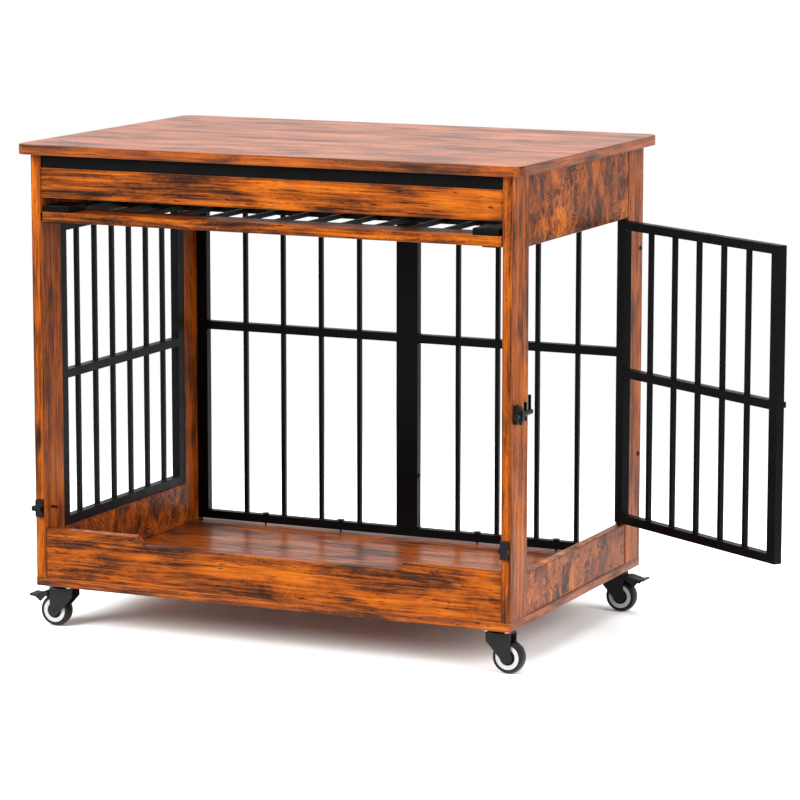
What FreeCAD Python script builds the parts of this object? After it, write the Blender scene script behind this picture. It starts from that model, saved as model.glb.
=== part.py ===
"""Dog crate end table: a wooden side table on casters, with steel grilles round a cabin.

The front door lifts and slides in under the table top, and the side door swings on two pins.
Millimetres. +X is right, +Y is back, +Z is up, and the origin is on the floor under the
middle of the carcass. Every piece is built at the pose of the photograph: the front door
stored under the top, the side door open.
"""
import FreeCAD
import Part
import math
import os

V = FreeCAD.Vector
X_AXIS, Y_AXIS, Z_AXIS = V(1, 0, 0), V(0, 1, 0), V(0, 0, 1)

# ---- clearances -----------------------------------------------------------------------------
running_gap = 0.05             # radial, between a pin and its bore
seat_gap = 0.3                 # between pieces that slide or turn past each other
overcut = 1.0                  # how far a cutting solid reaches past what it cuts

# ---- boards ---------------------------------------------------------------------------------
carcass_width = 764.0          # over the posts, left to right
board = 15.0                   # thickness of posts, aprons and low boards
base_thickness = 13.0
post_width = 60.0              # a post's broad face
top_thickness = 15.0
top_overhang_side = 18.0
top_overhang_front = 17.0
top_corner_radius = 20.0
edge_round = 1.2               # softened edges of the laminated boards
front_recess = 2.5             # the front apron and the front board sit back from the posts
side_recess = 1.0              # the side aprons and boards sit back from the posts
beam_size = 20.0               # square steel beam between the front posts, under the top
beam_recess = 4.0              # its face, in from the front edge
front_apron_height = 44.0
side_board_height = 61.0
front_board_height = 74.0      # at its raised ends
front_board_dip = 13.0         # how far the middle is cut down
dip_half_length = 203.0
dip_ramp = 15.0                # run of the slope at each end of the dip

# ---- steel grilles --------------------------------------------------------------------------
stile_width = 18.0
rail_height = 13.0
tube_depth = 13.0
bar_size = 6.5
panel_gap_low = 6.0            # under the side door
left_panel_gap_low = 1.0       # under the left grille, whose board reaches up to it
panel_gap_high = 2.4           # above the side door and the left grille
back_panel_inset = 4.0         # back face of the back grilles, in from the posts' back edge
back_panel_gap_low = 3.5
back_panel_gap_high = 2.0
back_bars = 4
left_bars = 6
left_bar_pitch = 54.0
side_door_bars = 5
front_door_bars = 12

# ---- side door ------------------------------------------------------------------------------
side_door_open_angle = 58.0    # how far the door stands open
side_door_gap = 4.5            # to the post at each end
hinge_pin_inset = 3.0          # pin axis, in from the end of the hinge stile
hinge_pin_radius = 2.0
hinge_pin_in_door = 14.0
hinge_pin_in_board = 16.0
hinge_pin_in_apron = 5.0
hinge_collar_radius = 3.6
keeper_width = 7.5             # catch lug on the free stile
keeper_height = 8.5
keeper_depth = 5.5
keeper_from_edge = 1.3
keeper_above_middle = 0.7      # centre of the lug over the middle rail
keeper_round = 1.5

# ---- front door -----------------------------------------------------------------------------
front_door_length = 464.0      # pivot axis to the bottom edge
pivot_from_end = 7.5           # pivot axis to the top edge
door_side_gap = 1.5            # door to the side aprons
door_top_gap = 20.5            # closed door to the front apron, room for fingers
door_back_gap = 17.5           # stored door to the back grilles
door_over_board = 1.0          # closed door over the front board
door_over_apron_edge = 5.0     # stored door over the lower edge of the side aprons
door_reveal = 1.5              # closed door's face, back from the front of the posts
stored_reveal = 2.0            # stored door's front edge, back from the front of the posts
door_rail_depth = 50.0         # wooden rail along the bottom edge
pivot_radius = 3.0
pivot_in_stile = 12.0
slider_length = 15.0
slider_height = 9.4
slider_end_gap = 0.5           # to the bottom of the groove
slider_round = 2.0
groove_gap = 0.3               # above and below the slider
groove_depth = 7.0             # into the side aprons
groove_front_wall = 1.0        # wood left in front of the groove in the front posts
groove_end_gap = 2.0
cap_width = 40.0               # catch housing at each bottom corner of the door
cap_height = 10.0
cap_from_end = 3.5
cap_round = 1.5
cap_slot_depth = 12.0
cap_slot_centre = 29.0         # from the door's bottom edge
backing_width = 26.0
backing_thickness = 1.5

# ---- front catches --------------------------------------------------------------------------
catch_width = 11.0             # bracket of a front catch
catch_height = 26.0
catch_rise = 1.0               # middle of the bracket over the bolt's axis
catch_plate = 1.5
catch_lip = 2.3                # thickness of the lips that hold the bolt
catch_round = 0.8
catch_from_edge = 3.0          # bracket to the post's outer edge
catch_bolt_length = 15.0
catch_bolt_height = 6.4
catch_tongue_height = 8.4
catch_bolt_layer = 2.6         # thickness of the bolt's tongue, and of its face
catch_bolt_gap = 0.5           # round the bolt in the door's slot
catch_bolt_left_offset = 4.4   # the bolt's middle, left of its bracket's middle
catch_bolt_right_offset = 0.6
door_stop_radius = 2.0
door_stop_reach = 10.5         # out of the post's inner face
door_stop_gap = 0.8            # behind the closed door's backing plates
door_stop_round = 0.8

# ---- side catch -----------------------------------------------------------------------------
side_bolt_radius = 3.9
side_bolt_gap = 0.6            # between the bolt and the door's keeper
side_bolt_ahead = 8.0          # front end of the bolt, ahead of the post's front face
side_bolt_behind = 10.0        # its back end, ahead of the post's back edge
side_bolt_round = 1.5
side_ear_inset = 6.0           # front of the bracket's ear, in from the front edge
side_ear_length = 8.0          # front to back
side_ear_wall = 1.6            # round the bolt, on the outside
side_ear_top = 13.5            # over the bolt's axis
side_ear_foot = 13.0           # under it
side_ear_shoulder = 2.0        # above and below the bolt, at full depth
side_ear_fork = 3.0            # width of the slit in the foot
side_ear_fork_height = 5.0
side_plate = 2.0
side_plate_length = 12.0
prong_thickness = 2.5
prong_width = 4.0
prongs = ((5.0, 24.5), (20.0, 16.0), (20.0, -10.5))    # in from the bolt's end, and how far up

# ---- casters --------------------------------------------------------------------------------
caster_inset_side = 28.0       # swivel axis, in from the posts' outer faces
caster_inset_front = 33.0
caster_trail = 13.0            # axle, out from the swivel axis
wheel_radius = 24.0
wheel_crown = 2.2              # how much the tyre's edges are lower than its middle
wheel_ring_radius = 17.8       # outside of the white core, inside of the tyre
rim_bore_radius = 11.7         # inside of the core's rim
wheel_clearance = 7.9          # tyre to the kingpin's head
tyre_width = 18.0
tyre_side_gap = 1.0            # tyre to the fork's ears
rim_inset = 0.4                # the core's rim, in from the tyre's side
web_inset = 2.0                # the core's web, in from its rim
hub_wall = 3.4
axle_radius = 2.5
axle_head_radius = 3.6
axle_head = 1.2
plate_size = 44.0
plate_thickness = 2.5
plate_corner = 5.0
plate_hole_radius = 2.3
plate_hole_inset = 6.0
race_radius = 15.0
race_height = 3.0
race_round = 1.0
kingpin_radius = 4.0
kingpin_head_radius = 6.5
kingpin_head = 2.0
crown_radius = 20.0
ear_half_length = 19.0         # of the fork's ears, under the crown
ear_edge_height = 13.5         # height of the ear's straight edge, with the crown
ear_eye_radius = 8.5           # round the axle
fork_sheet = 2.0
pedal_width = 25.0
pedal_sheet = 2.0
pedal_pin_radius = 1.6
pedal_pin_length = 3.5         # of each stub inside the fork's ears
pedal_pin_forward = 4.0        # ahead of the swivel axis
pedal_pin_drop = 6.0           # under the crown
pedal_pin_wall = 3.0           # pedal behind its pin
pedal_drop = 1.2               # raised pedal's roof under the crown
pedal_reach = 40.5             # tip of the pedal, past the axle
pedal_lip = 9.0                # length of the turned-up lip
pedal_lip_thickness = 3.0
pedal_dip = 4.5                # lowest point of the roof, before the lip
pedal_lip_drop = 2.0           # the lip's edge under the roof
pedal_slope_run = 10.0         # the roof starts to fall this far before the tyre's front
pedal_skirt_root = 9.0         # depth of the side walls at the pin
pedal_skirt = 15.0             # and at the tyre's front
pedal_roof_start = 8.0         # clear of the kingpin's head
pedal_travel = 9.0             # degrees, from raised to pressed
pedal_ear_gap = 1.0            # the pedal's broad part to the ears
tyre_gap = 0.6                 # pedal to tyre

# ---- screws ---------------------------------------------------------------------------------
screw_head_radius = 4.0
screw_head_height = 2.2
screw_head_round = 1.4
screw_shank_radius = 1.6
screw_in_board = 10.0          # how deep a screw goes into the base panel
screw_in_stile = 9.0           # and into a back grille's stile
back_screw_heights = (162.0, 476.0)  # over the top of the base panel
panel_bolt_height = 99.5       # over the top of the base panel

# ---- the casters' levels --------------------------------------------------------------------
wheel_bore_radius = axle_radius + running_gap
fork_inner_width = tyre_width + 2 * tyre_side_gap
kingpin_foot = 2 * wheel_radius + wheel_clearance
crown_bottom = kingpin_foot + kingpin_head + seat_gap
crown_top = crown_bottom + fork_sheet
race_bottom = crown_top + seat_gap
plate_bottom = race_bottom + race_height
base_bottom = plate_bottom + plate_thickness
pedal_pin_z = crown_bottom - pedal_pin_drop

# ---- the carcass: the front door's length sets its height and its depth ---------------------
half_width = carcass_width / 2
post_inner = half_width - board
apron_outer = half_width - side_recess
apron_inner = apron_outer - board
base_top = base_bottom + base_thickness
front_board_top = base_top + front_board_height
closed_door_bottom = front_board_top + door_over_board
pivot_z = closed_door_bottom + front_door_length
front_apron_bottom = pivot_z + pivot_from_end + door_top_gap
beam_bottom = front_apron_bottom + front_apron_height
top_bottom = beam_bottom + beam_size
top_top = top_bottom + top_thickness
stored_length = front_door_length + pivot_from_end
half_depth = (stored_reveal + stored_length + door_back_gap + tube_depth + back_panel_inset) / 2
post_edge = half_depth - post_width
front_face = -half_depth + front_recess
beam_face = -half_depth + beam_recess
side_apron_bottom = pivot_z - board / 2 - door_over_apron_edge
side_board_top = base_top + side_board_height
back_panel_y = half_depth - back_panel_inset - tube_depth / 2

# ---- the side grille and the side door ------------------------------------------------------
panel_inner = post_inner + (board - tube_depth) / 2
panel_outer = panel_inner + tube_depth
panel_bottom = side_board_top + panel_gap_low
panel_top = side_apron_bottom - panel_gap_high
panel_middle = (panel_bottom + panel_top) / 2
left_board_top = panel_bottom - left_panel_gap_low
side_door_end = post_edge - side_door_gap
hinge_x = panel_inner + tube_depth / 2
hinge_y = side_door_end - hinge_pin_inset
keeper_z = panel_middle + keeper_above_middle
side_bolt_x = panel_outer + keeper_depth + side_bolt_gap + side_bolt_radius

# ---- the front door -------------------------------------------------------------------------
door_half_width = apron_inner - door_side_gap
closed_pivot_y = -half_depth + door_reveal + board / 2
stored_front_y = -half_depth + stored_reveal
pivot_y = stored_front_y + front_door_length
front_door_travel = pivot_y - closed_pivot_y
rail_back_y = stored_front_y + door_rail_depth
catch_z = closed_door_bottom + cap_slot_centre

SIDES = (("left", -1), ("right", 1))
CASTERS = ("front_left", "front_right", "back_left", "back_right")
BRAKED = ("front_left", "back_right")
PRESSED = ("front_left",)


# ---- solids ---------------------------------------------------------------------------------
def block(x0, x1, y0, y1, z0, z1):
    """A rectangular solid between two corners."""
    low = V(min(x0, x1), min(y0, y1), min(z0, z1))
    return Part.makeBox(abs(x1 - x0), abs(y1 - y0), abs(z1 - z0), low)


def rod(start, axis, radius, length):
    """A round bar from a point, along an axis."""
    return Part.makeCylinder(radius, length, start, axis)


def prism(points, direction):
    """A flat outline swept along a direction."""
    wire = Part.makePolygon([V(*p) for p in points] + [V(*points[0])])
    return Part.Face(wire).extrude(direction)


def joined(shapes):
    """One solid out of pieces that are welded or moulded together."""
    return shapes[0].fuse(shapes[1:]).removeSplitter()


def rounded(solid, radius, wanted):
    """Round the edges that a test picks."""
    return solid.makeFillet(radius, [edge for edge in solid.Edges if wanted(edge.BoundBox)])


def soft_board(solid, axis):
    """A board with its long edges, those along the axis, lightly rounded."""
    box = solid.BoundBox
    longest = {"x": box.XLength, "y": box.YLength, "z": box.ZLength}[axis]

    def along(edge_box):
        span = {"x": edge_box.XLength, "y": edge_box.YLength, "z": edge_box.ZLength}[axis]
        return span > longest / 2
    return rounded(solid, edge_round, along)


# ---- boards and beam ------------------------------------------------------------------------
def tabletop():
    half_x = half_width + top_overhang_side
    half_y = half_depth + top_overhang_front
    slab = block(-half_x, half_x, -half_y, half_y, top_bottom, top_top)
    slab = rounded(slab, top_corner_radius, lambda box: box.ZLength > top_thickness / 2)
    return rounded(slab, edge_round, lambda box: box.ZLength < edge_round / 2)


def base_panel():
    slab = block(-half_width, half_width, -half_depth, half_depth, base_bottom, base_top)
    slab = rounded(slab, edge_round, lambda box: box.ZLength < edge_round / 2)
    for place in caster_places():
        for x, y in caster_screw_places(*place):
            slab = slab.cut(rod(V(x, y, base_bottom), Z_AXIS, screw_shank_radius, screw_in_board))
    for x in rail_screw_places():
        slab = slab.cut(rod(V(x, back_panel_y, base_top), V(0, 0, -1), screw_shank_radius, screw_in_board))
    return slab


def slider_groove(side):
    """The groove that the front door's sliders run in, along one side of the crate."""
    half = slider_height / 2 + groove_gap
    start = -half_depth + groove_front_wall
    end = pivot_y + slider_length / 2 + groove_end_gap
    inner, outer = side * (apron_inner - overcut), side * (apron_inner + groove_depth)
    return block(inner, outer, start, end, pivot_z - half, pivot_z + half)


def post(side, end):
    """One of the four posts: side is -1 left or 1 right, end is -1 front or 1 back."""
    outer, inner = side * half_width, side * post_inner
    solid = block(outer, inner, end * half_depth, end * post_edge, base_top, top_bottom)
    solid = soft_board(solid, "z").cut(slider_groove(side))
    if end > 0:
        for height in back_screw_heights:
            start = V(outer, back_panel_y, base_top + height)
            solid = solid.cut(rod(start, V(-side, 0, 0), screw_shank_radius, board))
    return solid


def front_apron():
    back = front_face + board
    solid = block(-post_inner, post_inner, front_face, back, front_apron_bottom, beam_bottom)
    return soft_board(solid, "x")


def front_beam():
    return block(-post_inner, post_inner, beam_face, beam_face + beam_size, beam_bottom, top_bottom)


def side_apron(side):
    outer, inner = side * apron_outer, side * apron_inner
    solid = block(outer, inner, -post_edge, post_edge, side_apron_bottom, top_bottom)
    solid = soft_board(solid, "y").cut(slider_groove(side))
    if side > 0:
        start = V(hinge_x, hinge_y, side_apron_bottom)
        solid = solid.cut(rod(start, Z_AXIS, hinge_pin_radius, hinge_pin_in_apron))
    return solid


def side_board(side):
    """A low board between two posts: the left one reaches up to its grille."""
    outer, inner = side * apron_outer, side * apron_inner
    high = side_board_top if side > 0 else left_board_top
    solid = block(outer, inner, -post_edge, post_edge, base_top, high)
    solid = soft_board(solid, "y")
    if side > 0:
        start = V(hinge_x, hinge_y, side_board_top)
        solid = solid.cut(rod(start, V(0, 0, -1), hinge_pin_radius, hinge_pin_in_board))
    return solid


def front_board():
    """The board across the doorway's foot, cut down in the middle."""
    low, high = front_board_top - front_board_dip, front_board_top
    ramp_end = dip_half_length + dip_ramp
    outline = [(-post_inner, base_top), (post_inner, base_top), (post_inner, high),
               (ramp_end, high), (dip_half_length, low),
               (-dip_half_length, low), (-ramp_end, high), (-post_inner, high)]
    solid = prism([(x, front_face, z) for x, z in outline], V(0, board, 0))
    return rounded(solid, edge_round, lambda box: box.ZMin > low - edge_round and box.YLength < edge_round)


# ---- steel grilles --------------------------------------------------------------------------
def bar_spots(length, bars, pitch=None):
    """Where the bars stand along a grille: evenly between its stiles, or at a given pitch."""
    step = pitch or (length - 2 * stile_width) / (bars + 1)
    return [length / 2 + (i - (bars - 1) / 2) * step for i in range(bars)]


def grille(length, height, middle, spots):
    """A welded grille lying in X and Z, its corner at the origin and its depth along +Y.

    The stiles run the full height, the rails fit between them, and the bars run from the
    bottom rail to the top rail through the middle one.
    """
    half_rail, half_bar = rail_height / 2, bar_size / 2
    end = length - stile_width
    pieces = [block(0, stile_width, 0, tube_depth, 0, height),
              block(end, length, 0, tube_depth, 0, height)]
    for centre in (half_rail, middle, height - half_rail):
        pieces.append(block(stile_width, end, 0, tube_depth, centre - half_rail, centre + half_rail))
    front = tube_depth / 2 - half_bar
    for x in spots:
        pieces.append(block(x - half_bar, x + half_bar, front, front + bar_size,
                            half_rail, height - half_rail))
    return joined(pieces)


def rail_screw_places():
    """X of the screws through the back grilles' bottom rails, one between each pair of bars."""
    spots = bar_spots(post_inner, back_bars)
    middles = [(first + second) / 2 for first, second in zip(spots[::2], spots[1::2])]
    return [side * x for side in (-1, 1) for x in middles]


def back_panel(side):
    low = base_top + back_panel_gap_low
    height = top_bottom - back_panel_gap_high - low
    solid = grille(post_inner, height, height / 2, bar_spots(post_inner, back_bars))
    solid.translate(V(min(0, side * post_inner), back_panel_y - tube_depth / 2, low))
    for height_of_screw in back_screw_heights:
        start = V(side * post_inner, back_panel_y, base_top + height_of_screw)
        solid = solid.cut(rod(start, V(-side, 0, 0), screw_shank_radius, screw_in_stile))
    for x in rail_screw_places():
        if x * side > 0:
            solid = solid.cut(rod(V(x, back_panel_y, low), Z_AXIS, screw_shank_radius, rail_height))
    through = V(0, back_panel_y, base_top + panel_bolt_height)
    return solid.cut(rod(through, V(side, 0, 0), screw_shank_radius, stile_width))


def left_panel():
    length, height = 2 * post_edge, panel_top - panel_bottom
    spots = bar_spots(length, left_bars, left_bar_pitch)
    solid = grille(length, height, panel_middle - panel_bottom, spots)
    solid.rotate(V(0, 0, 0), Z_AXIS, 90)
    solid.translate(V(-panel_inner, -post_edge, panel_bottom))
    return solid


def opened(shape):
    """Turn a piece of the side door from closed to the open pose."""
    shape.rotate(V(hinge_x, hinge_y, 0), Z_AXIS, side_door_open_angle)
    return shape


def side_door_frame():
    length, height = 2 * side_door_end, panel_top - panel_bottom
    solid = grille(length, height, panel_middle - panel_bottom, bar_spots(length, side_door_bars))
    solid.rotate(V(0, 0, 0), Z_AXIS, 90)
    solid.translate(V(panel_outer, -side_door_end, panel_bottom))
    bore = hinge_pin_radius + running_gap
    for z in (panel_bottom, panel_top - hinge_pin_in_door):
        solid = solid.cut(rod(V(hinge_x, hinge_y, z), Z_AXIS, bore, hinge_pin_in_door))
    return opened(solid)


def side_door_keeper():
    """The lug on the free stile that the side catch's bolt stands in front of."""
    y = -side_door_end + keeper_from_edge
    low = keeper_z - keeper_height / 2
    outer = panel_outer + keeper_depth
    solid = block(panel_outer, outer, y, y + keeper_width, low, low + keeper_height)
    solid = rounded(solid, keeper_round, lambda box: box.XMin > outer - keeper_round)
    return opened(solid)


def hinge_pins():
    """The side door's lower and upper pins, each with a collar next to the door."""
    pins = []
    for fixed, edge, way, buried, gap in (
            (side_board_top, panel_bottom, 1, hinge_pin_in_board, panel_gap_low),
            (side_apron_bottom, panel_top, -1, hinge_pin_in_apron, panel_gap_high)):
        axis = V(0, 0, way)
        length = buried + gap + hinge_pin_in_door - seat_gap
        pin = rod(V(hinge_x, hinge_y, fixed - way * buried), axis, hinge_pin_radius, length)
        collar = rod(V(hinge_x, hinge_y, fixed), axis, hinge_collar_radius, gap - seat_gap)
        pins.append(joined([pin, collar]))
    return Part.makeCompound(pins)


# ---- front door, stored ---------------------------------------------------------------------
def front_door_grille():
    """The sliding door's grille, lying flat behind its wooden rail.

    Its middle rail lines up with those at the sides when the door is closed.
    """
    length, height = 2 * door_half_width, pivot_y + pivot_from_end - rail_back_y
    middle = panel_middle - closed_door_bottom - door_rail_depth
    solid = grille(length, height, middle, bar_spots(length, front_door_bars))
    solid.rotate(V(0, 0, 0), X_AXIS, -90)
    solid.translate(V(-door_half_width, rail_back_y, pivot_z + tube_depth / 2))
    for side in (-1, 1):
        start = V(side * door_half_width, pivot_y, pivot_z)
        solid = solid.cut(rod(start, V(-side, 0, 0), pivot_radius + running_gap, pivot_in_stile))
    return solid


def front_door_rail():
    low = pivot_z - board / 2
    solid = block(-door_half_width, door_half_width, stored_front_y, rail_back_y, low, low + board)
    return soft_board(solid, "x")


def front_door_cap(side):
    """The catch housing on the door's bottom corner, with the slot for the catch's bolt."""
    outer = side * (door_half_width - cap_from_end)
    low = pivot_z + board / 2
    high = low + cap_height
    solid = block(outer, outer - side * cap_width, stored_front_y, rail_back_y, low, high)
    solid = rounded(solid, cap_round, lambda box: box.ZMin > high - cap_round)
    # The bolt lies this far out from the closed door's face.
    bolt_out = door_reveal + catch_plate + seat_gap
    slot_low = low + bolt_out - catch_bolt_gap
    slot_high = low + bolt_out + 2 * catch_bolt_layer + catch_bolt_gap
    slot_y = stored_front_y + cap_slot_centre
    half = catch_tongue_height / 2 + catch_bolt_gap
    slot = block(outer, outer - side * cap_slot_depth, slot_y - half, slot_y + half, slot_low, slot_high)
    return solid.cut(slot)


def front_door_backing_plates():
    """Thin plates on the other face of the wooden rail, behind the catch housings."""
    plates = []
    high = pivot_z - board / 2
    for side in (-1, 1):
        outer = side * (door_half_width - cap_from_end)
        plates.append(block(outer, outer - side * backing_width, stored_front_y + edge_round,
                            rail_back_y - edge_round, high - backing_thickness, high))
    return Part.makeCompound(plates)


def front_door_sliders():
    """Two blocks that run in the side grooves, each with the door's pivot pin."""
    pieces = []
    half_length, half_height = slider_length / 2, slider_height / 2
    for side in (-1, 1):
        inner = apron_inner + seat_gap
        outer = apron_inner + groove_depth - slider_end_gap
        shoe = block(side * inner, side * outer, pivot_y - half_length, pivot_y + half_length,
                     pivot_z - half_height, pivot_z + half_height)
        shoe = rounded(shoe, slider_round, lambda box: box.XLength > slider_round)
        pin_end = door_half_width - pivot_in_stile + seat_gap
        pin = rod(V(side * pin_end, pivot_y, pivot_z), V(side, 0, 0), pivot_radius, outer - pin_end)
        pieces.append(joined([shoe, pin]))
    return Part.makeCompound(pieces)


# ---- catches --------------------------------------------------------------------------------
def catch_span(side, width, offset):
    """The left and right limits of a front catch's bracket or bolt."""
    middle = side * (half_width - catch_from_edge - catch_width / 2) - offset
    return middle - width / 2, middle + width / 2


def catch_bracket(side):
    """A front catch's bracket: a plate with two blocks whose lips hold the bolt."""
    x0, x1 = catch_span(side, catch_width, 0)
    plate_face = -half_depth - catch_plate
    lip_back = plate_face - catch_bolt_layer - 2 * seat_gap
    lip_face = lip_back - catch_lip
    low = catch_z + catch_rise - catch_height / 2
    high = low + catch_height
    channel = catch_tongue_height / 2 + seat_gap
    mouth = catch_bolt_height / 2 + seat_gap
    body = block(x0, x1, lip_face, -half_depth, low, high)
    body = body.cut(block(x0, x1, lip_back, plate_face, catch_z - channel, catch_z + channel))
    body = body.cut(block(x0, x1, lip_face, plate_face, catch_z - mouth, catch_z + mouth))

    def outer_edge(box):
        outside = box.YMax < lip_face + catch_round and box.ZLength < catch_round
        return outside and (box.ZMax < low + catch_round or box.ZMin > high - catch_round)
    return rounded(body, catch_round, outer_edge)


def catch_bolt(side):
    """The sliding bolt of a front catch: a tongue behind the lips and a face in front."""
    offset = catch_bolt_left_offset if side < 0 else catch_bolt_right_offset
    x0, x1 = catch_span(side, catch_bolt_length, offset)
    back = -half_depth - catch_plate - seat_gap
    half_tongue, half_face = catch_tongue_height / 2, catch_bolt_height / 2
    tongue = block(x0, x1, back - catch_bolt_layer, back, catch_z - half_tongue, catch_z + half_tongue)
    face = block(x0, x1, back - 2 * catch_bolt_layer, back, catch_z - half_face, catch_z + half_face)
    return joined([tongue, face])


def door_stops():
    """Two pins out of the posts' inner faces, just behind the closed front door."""
    pins = []
    door_back = -half_depth + door_reveal + board + backing_thickness
    y = door_back + door_stop_gap + door_stop_radius
    inside = post_inner - door_stop_round
    for side in (-1, 1):
        pin = rod(V(side * post_inner, y, catch_z), V(-side, 0, 0), door_stop_radius, door_stop_reach)
        pins.append(rounded(pin, door_stop_round, lambda box: max(-box.XMin, box.XMax) < inside))
    return Part.makeCompound(pins)


def side_catch_bracket():
    """The side catch's bracket: a plate on the post and an ear that the bolt runs through."""
    front = -half_depth + side_ear_inset
    low, high = keeper_z - side_ear_foot, keeper_z + side_ear_top
    plate = block(half_width, half_width + side_plate, front, front + side_plate_length, low, high)
    # The ear, looking along the bolt: a narrow top, a broad middle and a forked foot.
    outer = side_bolt_x + side_bolt_radius + side_ear_wall
    shoulder = side_bolt_radius + side_ear_shoulder
    neck = side_bolt_x - side_bolt_radius / 2
    slit = side_bolt_x - side_ear_fork
    slit_top = low + side_ear_fork_height
    outline = [(half_width, high), (neck, high), (outer, keeper_z + shoulder), (outer, keeper_z - shoulder),
               (side_bolt_x + side_bolt_radius, low), (side_bolt_x, low), (side_bolt_x, slit_top),
               (slit, slit_top), (slit, low), (half_width, low)]
    ear = prism([(x, front, z) for x, z in outline], V(0, side_ear_length, 0))
    bore = rod(V(side_bolt_x, front, keeper_z), Y_AXIS, side_bolt_radius + running_gap, side_plate_length)
    return joined([plate, ear]).cut(bore)


def side_catch_bolt():
    """The side catch's round bolt, with three prongs behind its bracket."""
    front = -half_depth - side_bolt_ahead
    tip = -post_edge - side_bolt_behind
    barrel = rod(V(side_bolt_x, front, keeper_z), Y_AXIS, side_bolt_radius, tip - front)
    pieces = [rounded(barrel, side_bolt_round, lambda box: box.YLength < side_bolt_round)]
    half = prong_width / 2
    for back, rise in prongs:
        pieces.append(block(side_bolt_x - half, side_bolt_x + half, tip - back - prong_thickness,
                            tip - back, keeper_z, keeper_z + rise))
    return joined(pieces)


# ---- casters: each is built on the Z axis, trailing towards +X ------------------------------
def caster_places():
    """Swivel axes, in the order of CASTERS."""
    x = half_width - caster_inset_side
    y = half_depth - caster_inset_front
    return [(-x, -y), (x, -y), (-x, y), (x, y)]


def caster_screw_places(x, y):
    half = plate_size / 2 - plate_hole_inset
    return [(x + dx * half, y + dy * half) for dx in (-1, 1) for dy in (-1, 1)]


def placed(solid, place):
    """Move a caster piece to its place; a caster on the left is turned to trail outwards."""
    x, y = place
    if x < 0:
        solid.rotate(V(0, 0, 0), Z_AXIS, 180)
    solid.translate(V(x, y, 0))
    return solid


def caster_plate():
    """The fixed plate with its race and kingpin, the kingpin's head under the fork."""
    half = plate_size / 2
    plate = block(-half, half, -half, half, plate_bottom, base_bottom)
    plate = rounded(plate, plate_corner, lambda box: box.ZLength > plate_thickness / 2)
    race = rod(V(0, 0, race_bottom), Z_AXIS, race_radius, race_height)
    race = rounded(race, race_round, lambda box: box.ZMax < race_bottom + race_round)
    pin = rod(V(0, 0, kingpin_foot), Z_AXIS, kingpin_radius, plate_bottom - kingpin_foot)
    head = rod(V(0, 0, kingpin_foot), Z_AXIS, kingpin_head_radius, kingpin_head)
    head = rounded(head, kingpin_head / 2, lambda box: box.ZMax < kingpin_foot + kingpin_head / 2)
    solid = joined([plate, race, pin, head])
    for x, y in caster_screw_places(0, 0):
        solid = solid.cut(rod(V(x, y, plate_bottom), Z_AXIS, plate_hole_radius, plate_thickness))
    return solid


def fork_ear(y):
    """One ear of the fork: straight edges under the crown, a slanting one down to the axle's eye."""
    corner = V(-ear_half_length, y, crown_top - ear_edge_height)
    eye = V(caster_trail, y, wheel_radius)
    reach = corner.sub(eye)
    # The slanting edge leaves the corner and touches the eye's circle.
    turn = math.atan2(reach.z, reach.x) + math.acos(ear_eye_radius / reach.Length)
    touch = (eye.x + ear_eye_radius * math.cos(turn), eye.z + ear_eye_radius * math.sin(turn))
    outline = [(-ear_half_length, crown_top), (corner.x, corner.z), touch, (eye.x, eye.z),
               (ear_half_length, eye.z), (ear_half_length, crown_top)]
    ear = prism([(x, y, z) for x, z in outline], V(0, fork_sheet, 0))
    return joined([ear, rod(eye, Y_AXIS, ear_eye_radius, fork_sheet)])


def caster_fork(braked):
    """The swivelling fork: a crown on the kingpin and two ears, with pins for a brake pedal."""
    inner = fork_inner_width / 2
    outer = inner + fork_sheet
    crown = rod(V(0, 0, crown_bottom), Z_AXIS, crown_radius, fork_sheet)
    strip = block(-ear_half_length, ear_half_length, -outer, outer, crown_bottom, crown_top)
    solid = joined([crown, strip, fork_ear(-outer), fork_ear(inner)])
    solid = solid.cut(rod(V(0, 0, crown_bottom), Z_AXIS, kingpin_radius + running_gap, fork_sheet))
    solid = solid.cut(rod(V(caster_trail, -outer, wheel_radius), Y_AXIS, axle_radius, 2 * outer))
    if braked:
        for side in (-1, 1):
            start = V(pedal_pin_forward, side * outer, pedal_pin_z)
            pin = rod(start, V(0, -side, 0), pedal_pin_radius, fork_sheet + pedal_pin_length)
            solid = joined([solid, pin])
    return solid


def caster_axle():
    """The rivet through the fork's ears that the wheel turns on."""
    outer = fork_inner_width / 2 + fork_sheet
    pieces = [rod(V(caster_trail, -outer, wheel_radius), Y_AXIS, axle_radius, 2 * outer)]
    for side in (-1, 1):
        seat = V(caster_trail, side * outer, wheel_radius)
        pieces.append(Part.makeCone(axle_head_radius, axle_radius, axle_head, seat, V(0, side, 0)))
    return joined(pieces)


def wheel_turned(edges):
    """A solid turned round the axle from an outline in X (radius) and Y (width)."""
    solid = Part.Face(Part.Wire(edges)).revolve(V(0, 0, 0), Y_AXIS, 360)
    solid.translate(V(caster_trail, 0, wheel_radius))
    return solid


def caster_tyre():
    """The soft tyre: a ring with a crowned tread."""
    half, edge = tyre_width / 2, wheel_radius - wheel_crown
    a, b = V(wheel_ring_radius, -half, 0), V(edge, -half, 0)
    c, d = V(edge, half, 0), V(wheel_ring_radius, half, 0)
    tread = Part.Arc(b, V(wheel_radius, 0, 0), c).toShape()
    return wheel_turned([Part.makeLine(a, b), tread, Part.makeLine(c, d), Part.makeLine(d, a)])


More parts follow.
